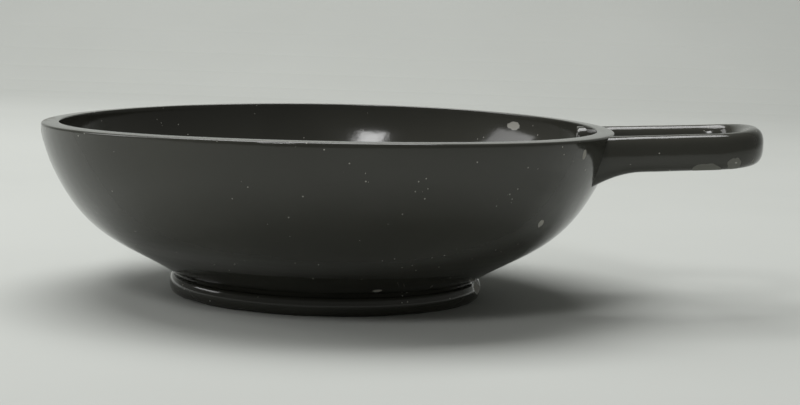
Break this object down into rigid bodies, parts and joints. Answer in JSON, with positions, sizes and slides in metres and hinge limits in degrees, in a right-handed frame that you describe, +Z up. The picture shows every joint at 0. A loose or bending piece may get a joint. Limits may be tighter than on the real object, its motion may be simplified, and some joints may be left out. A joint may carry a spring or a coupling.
{
  "type": "one-handled bowl",
  "caption": "Shallow pottery bowl in black gloss with a flat lip, a ring foot and a level loop handle at the rim.",
  "frame": {"origin": "on the table, under the middle of the whole length from rim to handle", "axes": "+Z up, +X along the length towards the handle, +Y completes a right-handed frame"},
  "size_m": [0.176, 0.14, 0.0446],
  "materials": {
    "black_gloss": "gloss",
    "bare_clay": "matte"
  },
  "bodies": {
    "root": {"bowl_body": "black_gloss", "foot_ring": "black_gloss", "handle": "black_gloss", "foot_luting": "bare_clay", "handle_luting_near": "bare_clay", "handle_luting_far": "bare_clay"}
  },
  "joints": []
}
